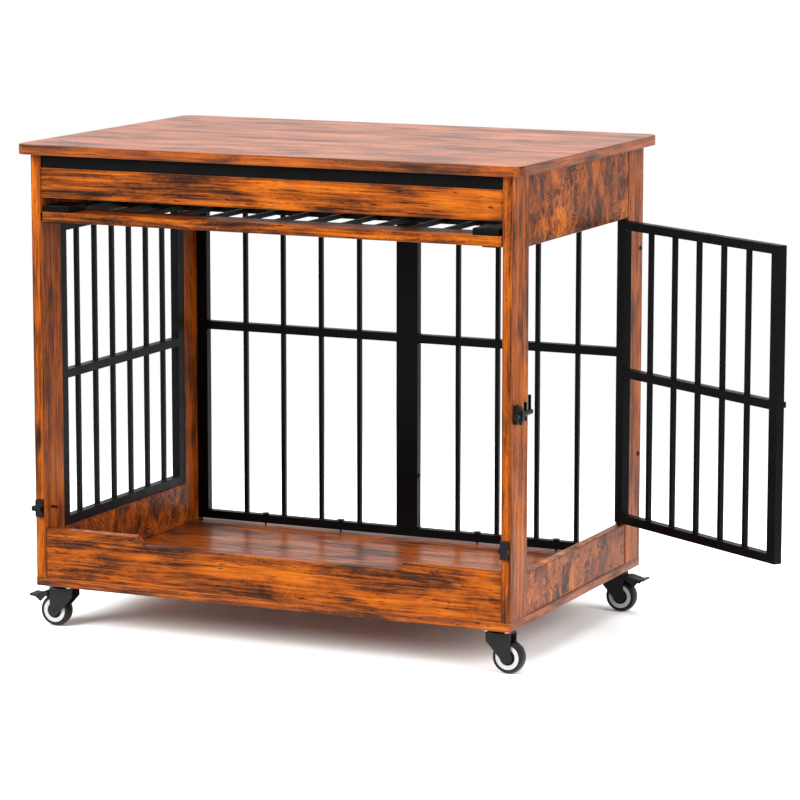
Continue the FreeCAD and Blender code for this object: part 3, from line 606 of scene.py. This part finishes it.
# ---- the crate ------------------------------------------------------------------------------
@dataclass
class Carcass:
    """The laminated boards, the steel beam under the top, and their screws."""

    finishes: Finishes
    screw_radius: float = 0.0040
    screw_height: float = 0.0022
    shank: float = 0.0015
    back_screw_levels: tuple[float, float] = (0.241, 0.555)
    rail_screw_spots: tuple[float, ...] = (-0.2497, -0.1173, 0.1173, 0.2497)

    def dress_boards(self) -> None:
        """Gives every board its laminate, each with its own run of the pattern."""
        x, y, z = Grain.ALONG_X, Grain.ALONG_Y, Grain.ALONG_Z
        self.finishes.board("tabletop", x, 3.1, contrast=0.60, ior=1.34)
        self.finishes.board("base_panel", x, 8.4, ior=1.25)
        self.finishes.board("front_apron", x, 5.2)
        self.finishes.board("front_board", x, 6.7)
        self.finishes.board("side_apron_right", z, 2.3, burl=1.0)
        self.finishes.board("side_apron_left", z, 9.1, burl=1.0)
        self.finishes.board("side_board_right", z, 4.6, burl=1.0)
        self.finishes.board("side_board_left", z, 7.7, burl=1.0)
        for number, corner in enumerate(("front_left", "front_right", "back_left", "back_right")):
            self.finishes.board("post_" + corner, z, 12.1 + 2.3 * number, shade=-0.015,
                                contrast=0.85)
        steel = self.finishes.coating("black_powder_coat", BLACK_STEEL)
        self.finishes.dress("front_beam", steel)

    def build_back_screws(self) -> None:
        """Domed screws through the back posts into the grilles' stiles."""
        low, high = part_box("back_panel_screws")
        y = (low.y + high.y) / 2
        face = high.x - self.screw_height
        parts = [socket_screw((side.value * face, y, level), (side.value, 0, 0), self.screw_radius,
                              self.screw_height, self.shank, 0.022)
                 for side in Side for level in self.back_screw_levels]
        steel = self.finishes.coating("screw_black", WELD_STEEL)
        made = Surface.merged(parts).piece("back_panel_screw_heads", steel, "crate", "black_steel")
        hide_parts("back_panel_screws")

    def build_rail_screws(self) -> None:
        """Screws with flared collars, which hold the grilles' bottom rails to the base.

        The collar is a cup whose wall leans out as it rises. The screw's dome stands in it.
        """
        low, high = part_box("rail_screws")
        y, seat = (low.y + high.y) / 2, high.z - self.screw_height
        profile = [(self.shank * 0.5, low.z + 0.001 - seat, 0),
                   (self.shank, low.z + 0.002 - seat, 0), (self.shank, 0.0, 0),
                   (0.0034, 0.0, 0), (0.0040, 0.0004, 0), (0.0052, 0.0013, 0),
                   (0.0062, 0.0022, 0), (0.0058, 0.0022, 0), (0.0044, 0.0012, 0),
                   (0.0034, 0.0009, 0), (0.0031, 0.0016, 0), (0.0022, 0.0020, 0),
                   (0.0014, 0.0021, 0), (0.0011, 0.0012, 0.12), (0.0006, 0.0010, 0)]
        parts = [revolved(profile, (x, y, seat), (0, 0, 1), 36) for x in self.rail_screw_spots]
        steel = self.finishes.coating("screw_black", WELD_STEEL)
        made = Surface.merged(parts).piece("rail_screw_collars", steel, "crate", "black_steel")
        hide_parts("rail_screws")

    def build_panel_bolt(self) -> None:
        """The bolt through both back grilles' middle stiles, a socket head at each end."""
        low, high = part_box("panel_bolt")
        y, z = (low.y + high.y) / 2, (low.z + high.z) / 2
        parts = [socket_screw((side.value * (high.x - self.screw_height), y, z),
                              (side.value, 0, 0), self.screw_radius, self.screw_height,
                              self.shank, high.x - self.screw_height - 0.0002)
                 for side in Side]
        steel = self.finishes.coating("screw_black", WELD_STEEL)
        made = Surface.merged(parts).piece("panel_bolt_heads", steel, "crate", "black_steel")
        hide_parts("panel_bolt")

    def build(self) -> None:
        """Dresses the boards and makes the screws."""
        self.dress_boards()
        self.build_back_screws()
        self.build_rail_screws()
        self.build_panel_bolt()


@dataclass
class Grilles:
    """The fixed grilles: one on the left side, two at the back.

    Args:
        finishes: the shared finishes.
        stile: width of an upright.
        rail: height of a rail.
        bar: side of a square bar.
        depth: front to back of the uprights and rails.
        bead: radius of a weld bead.
        corner_reach: size of a corner's weld, as a share of the bead.
        corner_depth: depth of a corner's weld, as a share of the grille's half depth.
        left_bars: bars in the left grille.
        left_pitch: from bar to bar in the left grille.
        back_bars: bars in each back grille.
    """

    finishes: Finishes
    stile: float = 0.018
    rail: float = 0.013
    bar: float = 0.0065
    depth: float = 0.013
    bead: float = 0.0008
    corner_reach: float = 1.5
    corner_depth: float = 0.86
    left_bars: int = 6
    left_pitch: float = 0.054
    back_bars: int = 4

    def weld_levels(self, low: float, high: float, middle: float) -> list[float]:
        """Returns the faces of the three rails that the bars are welded to."""
        half = self.rail / 2
        return [low + self.rail, middle - half, middle + half, high - self.rail]

    def bar_beads(self, spots: Sequence[float], levels: Sequence[float]) -> list[Surface]:
        """Weld beads round the bars of a grille that lies in X and Z, in the plane Y = 0."""
        half = self.bar / 2 + self.bead * 0.25
        return [ring_bead((x, 0.0, z), (0, 0, 1), (half, half), self.bead)
                for x in spots for z in levels]

    def corner_beads(self, low: tuple[float, float], high: tuple[float, float],
                     middle: float) -> list[Surface]:
        """Short beads on the inside corners, where the rails meet the stiles."""
        parts, half = [], self.rail / 2
        for x, side in ((low[0] + self.stile, 1), (high[0] - self.stile, -1)):
            for z, up in ((low[1] + self.rail, 1), (middle - half, -1), (middle + half, 1),
                          (high[1] - self.rail, -1)):
                reach = self.bead * self.corner_reach
                corner = (x + side * reach / 2, 0.0, z + up * reach / 2)
                size = (reach, self.depth / 2 * self.corner_depth, reach)
                parts.append(soft_block(tuple(c - s for c, s in zip(corner, size)),
                                        tuple(c + s for c, s in zip(corner, size)), 3.0, 9, 14))
        return parts

    def build(self) -> None:
        """Dresses the grilles and adds their welds."""
        steel = self.finishes.coating("black_powder_coat", BLACK_STEEL)
        weld = self.finishes.coating("weld_beads", WELD_STEEL)
        for node in ("left_panel", "back_panel_left", "back_panel_right"):
            self.finishes.dress(node, steel)
            low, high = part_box(node)
            along_y = node == "left_panel"
            ends = (low.y, high.y) if along_y else (low.x, high.x)
            middle_at = (ends[0] + ends[1]) / 2
            count = self.left_bars if along_y else self.back_bars
            clear = ends[1] - ends[0] - 2 * self.stile
            pitch = self.left_pitch if along_y else clear / (count + 1)
            spots = [middle_at + (i - (count - 1) / 2) * pitch for i in range(count)]
            middle = (low.z + high.z) / 2
            levels = self.weld_levels(low.z, high.z, middle)
            parts = self.bar_beads(spots, levels)
            parts += self.corner_beads((ends[0], low.z), (ends[1], high.z), middle)
            across = (low.x + high.x) / 2 if along_y else (low.y + high.y) / 2
            turn = Matrix.Rotation(math.radians(90), 4, "Z") if along_y else Matrix()
            move = Matrix.Translation((across, 0, 0) if along_y else (0, across, 0))
            Surface.merged(parts).turned(move @ turn).piece("welds_" + node, weld, "crate",
                                                             "black_steel")


@dataclass
class SideDoor(Grilles):
    """The side door, which stands open on its hinge pins."""

    bars: int = 5
    half_length: float = 0.1895
    hinge: tuple[float, float] = (0.3745, 0.1865)
    open_angle: float = 58.0

    def build(self) -> None:
        """Dresses the door and adds its welds, turned about the hinge with it."""
        steel = self.finishes.coating("black_powder_coat", BLACK_STEEL)
        weld = self.finishes.coating("weld_beads", WELD_STEEL)
        for node in ("side_door_frame", "side_door_keeper", "hinge_pins"):
            self.finishes.dress(node, steel)
        low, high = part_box("side_door_frame")
        pitch = (2 * self.half_length - 2 * self.stile) / (self.bars + 1)
        spots = [(i - (self.bars - 1) / 2) * pitch for i in range(self.bars)]
        middle = (low.z + high.z) / 2
        parts = self.bar_beads(spots, self.weld_levels(low.z, high.z, middle))
        parts += self.corner_beads((-self.half_length, low.z), (self.half_length, high.z), middle)
        shut = Matrix.Translation((self.hinge[0], 0, 0)) @ Matrix.Rotation(math.radians(90), 4, "Z")
        pin = Vector((*self.hinge, 0.0))
        swing = (Matrix.Translation(pin) @ Matrix.Rotation(math.radians(self.open_angle), 4, "Z")
                 @ Matrix.Translation(-pin))
        Surface.merged(parts).turned(swing @ shut).piece("welds_side_door", weld, "side_door",
                                                          "black_steel")


@dataclass
class FrontDoor(Grilles):
    """The up-and-over front door, stored flat under the top behind its wooden rail."""

    bars: int = 12

    def build(self) -> None:
        """Dresses the door, its sliders and its stops, and adds its welds."""
        steel = self.finishes.coating("black_powder_coat", BLACK_STEEL)
        plastic = self.finishes.coating("black_plastic", BLACK_PLASTIC)
        weld = self.finishes.coating("weld_beads", WELD_STEEL)
        self.finishes.board("front_door_rail", Grain.ALONG_X, 15.9)
        for node in ("front_door_grille", "front_door_cap_left", "front_door_cap_right",
                     "front_door_backing_plates"):
            self.finishes.dress(node, steel)
        for node in ("front_door_sliders", "door_stops"):
            self.finishes.dress(node, plastic)
        low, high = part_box("front_door_grille")
        pitch = (high.x - low.x - 2 * self.stile) / (self.bars + 1)
        spots = [(i - (self.bars - 1) / 2) * pitch for i in range(self.bars)]
        levels = [low.y + self.rail, high.y - self.rail]
        z = (low.z + high.z) / 2
        size = self.bar / 2 + self.bead * 0.25
        parts = [ring_bead((x, y, z), (0, 1, 0), (size, size), self.bead)
                 for x in spots for y in levels]
        Surface.merged(parts).piece("welds_front_door", weld, "front_door", "black_steel")


@dataclass
class Catches:
    """The two front catches and the side catch."""

    finishes: Finishes

    def build(self) -> None:
        """Dresses the brackets and bolts."""
        steel = self.finishes.coating("catch_black", WELD_STEEL)
        for node in ("catch_bracket_left", "catch_bracket_right", "catch_bolt_left",
                     "catch_bolt_right", "side_catch_bracket", "side_catch_bolt"):
            self.finishes.dress(node, steel)


@dataclass
class Casters:
    """Four swivel casters, two with a brake pedal.

    Args:
        finishes: the shared finishes.
        corners: the crate's corners, which name the casters' nodes.
        braked: the corners whose caster has a pedal.
        rim_bead: radius of the ridge on a tyre's shoulder.
        ring_radius: outside of the white core.
        ridge_out: the ridge, out from the core.
        ridge_side: the ridge's place across the tyre, as a share of its half width.
        disc_radius: outside of a black disc in the middle of the core.
        disc_bore: its hole.
        disc_depth: how far it goes into the core.
    """

    finishes: Finishes
    corners: tuple[str, ...] = ("front_left", "front_right", "back_left", "back_right")
    braked: tuple[str, ...] = ("front_left", "back_right")
    rim_bead: float = 0.0005
    ring_radius: float = 0.0178
    ridge_out: float = 0.0024
    ridge_side: float = 0.97
    disc_radius: float = 0.0116
    disc_bore: float = 0.0064
    disc_depth: float = 0.0034

    def build_hub(self, corner: str) -> None:
        """Black discs over the sunk middle of the wheel's white core, one on each side. They make it
        dark inside the white ring.

        A disc is a dish: a flat middle, a low ring half way out, and a turned-down edge.
        """
        low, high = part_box(f"caster_{corner}_core")
        x, y, z = (low + high) / 2
        face = (high.y - low.y) / 2
        r = self.disc_radius
        profile = [(self.disc_bore, -self.disc_depth, 0), (r * 0.99, -self.disc_depth, 0),
                   (r * 0.99, -0.0011, 0),
                   (r * 0.95, -0.0008, 0), (r * 0.86, -0.0010, 0), (r * 0.82, -0.0014, 0),
                   (r * 0.74, -0.0014, 0), (r * 0.70, -0.0009, 0), (r * 0.62, -0.0009, 0),
                   (self.disc_bore, -0.0013, 0)]
        parts = [revolved(profile, (x, y + side.value * face, z), (0, side.value, 0), 48)
                 for side in Side]
        black = self.finishes.coating("hub_black", BLACK_PLASTIC)
        Surface.merged(parts).piece(f"hub_discs_{corner}", black, f"caster_{corner}_wheel",
                                    "black_plastic")

    def build_wheel(self, corner: str) -> None:
        """Dresses a wheel and adds the moulded ridges on the tyre's shoulders."""
        rubber = self.finishes.coating("tyre_rubber", TYRE_RUBBER)
        self.finishes.dress(f"caster_{corner}_tyre", rubber)
        white = self.finishes.coating("white_plastic", WHITE_PLASTIC)
        self.finishes.dress(f"caster_{corner}_core", white)
        low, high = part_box(f"caster_{corner}_tyre")
        x, y, z = (low + high) / 2
        half = (self.ring_radius + self.ridge_out,) * 2
        parts = [ring_bead((x, y + side.value * (high.y - low.y) / 2 * self.ridge_side, z),
                           (0, 1, 0), half, self.rim_bead, 2.0, 64, 8) for side in Side]
        Surface.merged(parts).piece(f"tyre_ridges_{corner}", rubber, f"caster_{corner}_wheel",
                                    "black_tyre")
        self.build_hub(corner)

    def build_screws(self) -> None:
        """Gives the screws that hold the plates a zinc finish."""
        zinc = self.finishes.coating("zinc", ZINC_STEEL)
        self.finishes.dress("caster_screws", zinc)

    def build(self) -> None:
        """Dresses the casters and adds the wheels' ridges and black discs."""
        steel = self.finishes.coating("caster_steel", CASTER_STEEL)
        for corner in self.corners:
            for part in ("plate", "fork", "axle"):
                self.finishes.dress(f"caster_{corner}_{part}", steel)
            self.build_wheel(corner)
        for corner in self.braked:
            self.finishes.dress(f"caster_{corner}_pedal", steel)
        self.build_screws()


# ---- studio ---------------------------------------------------------------------------------
@dataclass
class Studio:
    """The white floor, the lamps, the world and the camera.

    Args:
        lens: focal length, in millimetres.
        sensor: width of the sensor, in millimetres.
        eye: where the camera is.
        yaw: its turn from +Y towards -X, in degrees.
        pitch: its turn down, in degrees.
        roll: its turn about its own axis, in degrees.
        clip: nearest and furthest that it sees.
        floor_size: side of the floor.
        floor_paint: the floor as it lights the crate.
        floor_near: the floor as the camera sees it by the crate. It is above 1, so that the
            floor outside the shadow is white.
        floor_fade: from where to where it turns plain white, from the origin.
        white: the background.
        soft_light: the world's light on the crate.
        dark_room: what a mirror ray sees in front of the crate.
    """

    lens: float = 165.9
    sensor: float = 36.0
    eye: Triple = (2.3341, -4.9199, 1.2314)
    yaw: float = 24.461
    pitch: float = 9.363
    roll: float = 0.046
    clip: tuple[float, float] = (0.1, 60.0)
    floor_size: float = 14.0
    floor_paint: Colour = (0.42, 0.45, 0.47, 1)
    floor_near: Colour = (1.68, 1.73, 1.73, 1)
    floor_fade: tuple[float, float] = (0.85, 1.9)
    white: Colour = (1, 1, 1, 1)
    soft_light: float = 0.42
    dark_room: float = 0.10

    def build_camera(self) -> None:
        """A long lens at the photograph's angle.

        Yaw turns the view from +Y towards -X, pitch turns it down, and roll turns it about
        its own axis.
        """
        a, e, r = (math.radians(v) for v in (self.yaw, self.pitch, self.roll))
        forward = Vector((-math.sin(a) * math.cos(e), math.cos(a) * math.cos(e), -math.sin(e)))
        level = Vector((math.cos(a), math.sin(a), 0.0))
        upright = level.cross(forward)
        right = level * math.cos(r) + upright * math.sin(r)
        up = upright * math.cos(r) - level * math.sin(r)
        data = bpy.data.cameras.new("camera")
        data.lens, data.sensor_width = self.lens, self.sensor
        data.clip_start, data.clip_end = self.clip
        camera = bpy.data.objects.new("camera", data)
        bpy.context.scene.collection.objects.link(camera)
        turn = Matrix((right, up, -forward)).transposed().to_4x4()
        camera.matrix_world = Matrix.Translation(self.eye) @ turn
        bpy.context.scene.camera = camera

    def build_floor(self) -> None:
        """A white floor that keeps the crate's shadow near it and is plain white further out."""
        half = self.floor_size / 2
        mesh = bpy.data.meshes.new("floor")
        mesh.from_pydata([(-half, -half, 0), (half, -half, 0), (half, half, 0), (-half, half, 0)],
                         [], [(0, 1, 2, 3)])
        floor = bpy.data.objects.new("floor", mesh)
        bpy.context.scene.collection.objects.link(floor)
        material = bpy.data.materials.new("floor_white")
        material.use_nodes = True
        material.node_tree.nodes.clear()
        nodes = Nodes(material.node_tree)
        paint = nodes.add("ShaderNodeBsdfDiffuse", {"Color": self.floor_paint}).outputs[0]
        near = nodes.add("ShaderNodeBsdfDiffuse", {"Color": self.floor_near}).outputs[0]
        far = nodes.add("ShaderNodeEmission", {"Color": self.white, "Strength": 1.0}).outputs[0]
        length = nodes.add("ShaderNodeVectorMath", {0: nodes.place()}, operation="LENGTH")
        edge = nodes.step(length.outputs["Value"], *self.floor_fade)
        seen = nodes.add("ShaderNodeMixShader", {0: edge, 1: near, 2: far}).outputs[0]
        path = nodes.add("ShaderNodeLightPath").outputs
        shown = nodes.math("MAXIMUM", path["Is Camera Ray"], path["Is Glossy Ray"])
        shown = nodes.math("MAXIMUM", shown, path["Is Transmission Ray"])
        out = nodes.add("ShaderNodeMixShader", {0: shown, 1: paint, 2: seen}).outputs[0]
        nodes.add("ShaderNodeOutputMaterial", {"Surface": out})
        mesh.materials.append(material)

    def backdrop(self, nodes: Nodes, strength: object) -> Socket:
        """Returns a white background of a strength."""
        inputs = {"Color": self.white, "Strength": strength}
        return nodes.add("ShaderNodeBackground", inputs).outputs[0]

    def build_world(self) -> None:
        """Soft grey light all round, seen by the camera as white.

        A glossy ray sees white behind the crate and a darker room in front of it, as in the
        photograph, where the front boards carry almost no sheen.
        """
        world = bpy.data.worlds.new("studio")
        world.use_nodes = True
        world.node_tree.nodes.clear()
        nodes = Nodes(world.node_tree)
        soft = self.backdrop(nodes, self.soft_light)
        direction = nodes.add("ShaderNodeTexCoord").outputs["Generated"]
        y = nodes.add("ShaderNodeSeparateXYZ", {0: direction}).outputs[1]
        behind = nodes.step(y, -0.15, 0.45, self.dark_room, 1.0)
        sheen = self.backdrop(nodes, behind)
        bright = self.backdrop(nodes, 1.0)
        path = nodes.add("ShaderNodeLightPath").outputs
        seen = nodes.math("MAXIMUM", path["Is Camera Ray"], path["Is Transmission Ray"])
        shares = {0: path["Is Glossy Ray"], 1: soft, 2: sheen}
        mixed = nodes.add("ShaderNodeMixShader", shares).outputs[0]
        out = nodes.add("ShaderNodeMixShader", {0: seen, 1: mixed, 2: bright}).outputs[0]
        nodes.add("ShaderNodeOutputWorld", {"Surface": out})
        bpy.context.scene.world = world

    def add_lamp(self, name: str, eye: Triple, target: Triple, size: float, power: float) -> None:
        """Adds a square soft lamp.

        Args:
            name: the lamp's name.
            eye: where it is.
            target: what it faces.
            size: its side, in metres.
            power: in watts.
        """
        data = bpy.data.lights.new(name, "AREA")
        data.shape, data.size, data.energy = "SQUARE", size, power
        lamp = bpy.data.objects.new(name, data)
        bpy.context.scene.collection.objects.link(lamp)
        aim = (Vector(target) - Vector(eye)).to_track_quat("-Z", "Y")
        lamp.matrix_world = Matrix.Translation(eye) @ aim.to_matrix().to_4x4()

    def build(self) -> None:
        """Builds the studio."""
        self.build_camera()
        self.build_floor()
        self.build_world()
        self.add_lamp("key", (-1.9, -3.6, 2.6), (0.0, 0.0, 0.40), 2.4, 175.0)
        self.add_lamp("fill", (3.4, -1.0, 1.9), (0.3, 0.0, 0.40), 2.2, 70.0)
        self.add_lamp("overhead", (0.1, 0.5, 3.3), (0.0, 0.0, 0.0), 3.0, 58.0)
        bpy.context.scene.view_settings.view_transform = "Standard"


def main() -> None:
    """Builds every part of the scene in order."""
    logging.basicConfig(level=logging.INFO, format="%(message)s")
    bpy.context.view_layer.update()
    finishes = Finishes()
    Carcass(finishes).build()
    Grilles(finishes).build()
    SideDoor(finishes).build()
    FrontDoor(finishes).build()
    Catches(finishes).build()
    Casters(finishes).build()
    Studio().build()


if __name__ == "__main__":
    main()
